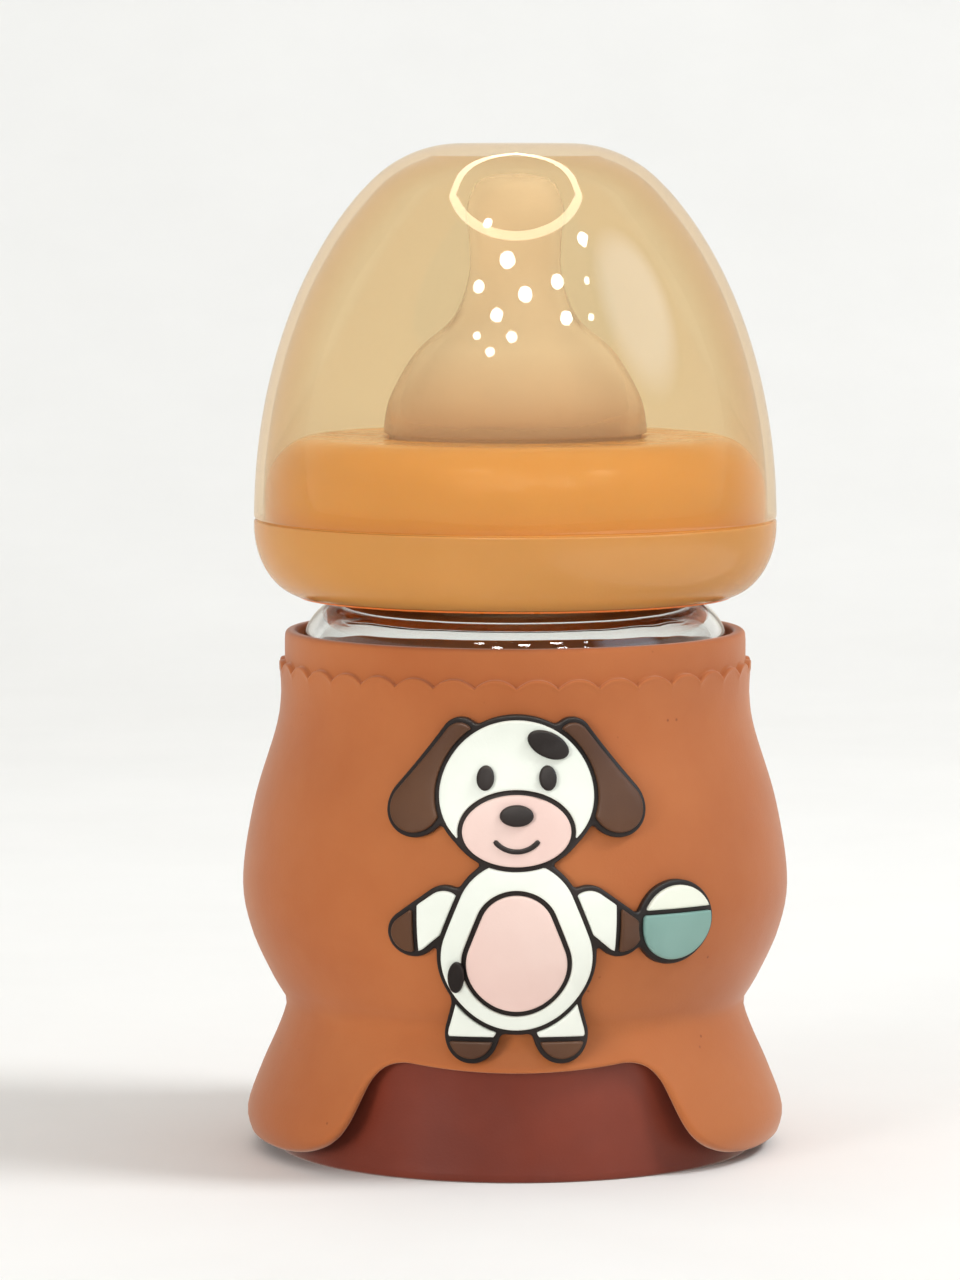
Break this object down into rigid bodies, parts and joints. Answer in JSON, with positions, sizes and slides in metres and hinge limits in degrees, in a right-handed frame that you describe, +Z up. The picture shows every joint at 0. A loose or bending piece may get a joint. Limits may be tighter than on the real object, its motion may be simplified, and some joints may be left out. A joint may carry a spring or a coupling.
{
  "type": "baby bottle",
  "caption": "Wide-neck glass baby bottle in a bulging silicone sleeve on a suction base, with a screw collar, silicone teat, clear dome cap and a raised puppy badge.",
  "frame": {"origin": "on the bottle's axis, at the surface that the suction base stands on", "axes": "+Z up along the bottle's axis, -Y towards the side that carries the badge, +X to the badge's right"},
  "size_m": [0.0806, 0.0823, 0.1482],
  "materials": {
    "glass": "clear",
    "teat_silicone": "translucent satin",
    "collar": "satin",
    "cap_clear": "transparent polished",
    "sleeve_silicone": "matte",
    "base_silicone": "satin",
    "badge_black": "satin",
    "badge_white": "satin",
    "badge_pink": "satin",
    "badge_brown": "satin",
    "badge_cream": "satin",
    "badge_teal": "satin"
  },
  "bodies": {
    "sleeve": {"silicone_sleeve": "sleeve_silicone", "suction_base": "base_silicone", "badge_arm_left": "badge_white", "badge_arm_right": "badge_white", "badge_ball_lower": "badge_teal", "badge_ball_upper": "badge_cream", "badge_belly": "badge_pink", "badge_body": "badge_white", "badge_ear_left": "badge_brown", "badge_ear_right": "badge_brown", "badge_eye_left": "badge_black", "badge_eye_right": "badge_black", "badge_foot_paw_left": "badge_brown", "badge_foot_paw_right": "badge_brown", "badge_hand_paw_left": "badge_brown", "badge_hand_paw_right": "badge_brown", "badge_head": "badge_white", "badge_head_spot": "badge_black", "badge_leg_left": "badge_white", "badge_leg_right": "badge_white", "badge_mouth": "badge_black", "badge_muzzle": "badge_pink", "badge_nose": "badge_black", "badge_plate": "badge_black", "badge_side_spot": "badge_black"},
    "bottle": {"glass_bottle": "glass"},
    "teat": {"silicone_teat": "teat_silicone"},
    "collar": {"collar_shell": "collar", "collar_thread_ring": "collar"},
    "cap": {"dome_cap": "cap_clear"}
  },
  "joints": [
    {"name": "bottle_lift", "type": "slide", "parent": "sleeve", "child": "bottle", "axis": [0, 0, 1], "range_m": [0, 0.075]},
    {"name": "teat_rise", "type": "slide", "parent": "bottle", "child": "teat", "axis": [0, 0, 1], "range_m": [0, 0.0069]},
    {"name": "collar_turn", "type": "hinge", "parent": "teat", "child": "collar", "pos_m": [0, 0, 0.0905], "axis": [0, 0, 1], "range_deg": [0, 540]},
    {"name": "cap_lift", "type": "slide", "parent": "collar", "child": "cap", "axis": [0, 0, 1], "range_m": [0, 0.06]}
  ],
  "couplings": [
    {"joint": "teat_rise", "follows": "collar_turn", "m_per_rad": 0.0007162}
  ]
}
